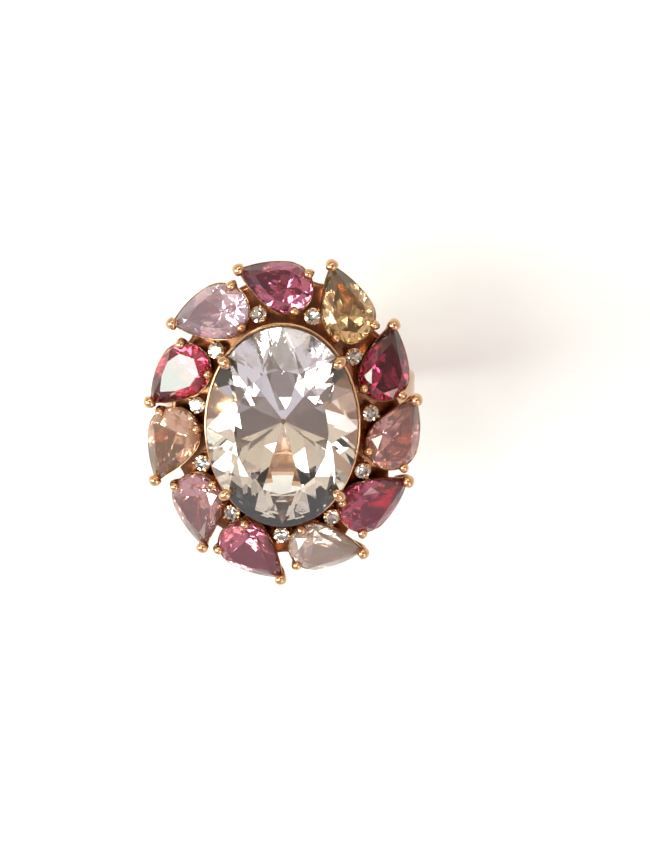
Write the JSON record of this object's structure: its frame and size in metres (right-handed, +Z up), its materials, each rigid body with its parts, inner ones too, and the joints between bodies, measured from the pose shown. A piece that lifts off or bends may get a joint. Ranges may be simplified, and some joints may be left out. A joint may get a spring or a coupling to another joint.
{
  "type": "cocktail ring",
  "caption": "Rose-gold cocktail ring with a large pale oval stone, a pinwheel halo of pear-shaped pink, plum and peach stones and small brilliants between them.",
  "frame": {"origin": "middle of the small flat under the shank", "axes": "+Z up through the table of the centre stone, Y along the finger and along the long axis of the centre stone, X across the hand"},
  "size_m": [0.0218, 0.026, 0.0288],
  "materials": {
    "rose_gold": "polished rose gold",
    "centre_quartz": "faceted and polished",
    "diamond": "faceted and polished",
    "rhodolite": "faceted and polished",
    "champagne_topaz": "faceted and polished",
    "garnet": "faceted and polished",
    "peach_tourmaline": "faceted and polished",
    "raspberry_tourmaline": "faceted and polished",
    "smoky_rose_quartz": "faceted and polished",
    "rose_tourmaline": "faceted and polished",
    "mauve_tourmaline": "faceted and polished",
    "peach_morganite": "faceted and polished",
    "rubellite": "faceted and polished",
    "pink_morganite": "faceted and polished"
  },
  "bodies": {
    "root": {"shank": "rose_gold", "gallery": "rose_gold", "halo_plate": "rose_gold", "centre_basket": "rose_gold", "centre_stone": "centre_quartz", "pear_setting_01": "rose_gold", "pear_setting_02": "rose_gold", "pear_setting_03": "rose_gold", "pear_setting_04": "rose_gold", "pear_setting_05": "rose_gold", "pear_setting_06": "rose_gold", "pear_setting_07": "rose_gold", "pear_setting_08": "rose_gold", "pear_setting_09": "rose_gold", "pear_setting_10": "rose_gold", "pear_setting_11": "rose_gold", "pear_stone_01": "rhodolite", "pear_stone_02": "champagne_topaz", "pear_stone_03": "garnet", "pear_stone_04": "peach_tourmaline", "pear_stone_05": "raspberry_tourmaline", "pear_stone_06": "smoky_rose_quartz", "pear_stone_07": "rose_tourmaline", "pear_stone_08": "mauve_tourmaline", "pear_stone_09": "peach_morganite", "pear_stone_10": "rubellite", "pear_stone_11": "pink_morganite", "melee_setting_01": "rose_gold", "melee_setting_02": "rose_gold", "melee_setting_03": "rose_gold", "melee_setting_04": "rose_gold", "melee_setting_05": "rose_gold", "melee_setting_06": "rose_gold", "melee_setting_07": "rose_gold", "melee_setting_08": "rose_gold", "melee_setting_09": "rose_gold", "melee_setting_10": "rose_gold", "melee_setting_11": "rose_gold", "melee_stone_01": "diamond", "melee_stone_02": "diamond", "melee_stone_03": "diamond", "melee_stone_04": "diamond", "melee_stone_05": "diamond", "melee_stone_06": "diamond", "melee_stone_07": "diamond", "melee_stone_08": "diamond", "melee_stone_09": "diamond", "melee_stone_10": "diamond", "melee_stone_11": "diamond"}
  },
  "joints": []
}
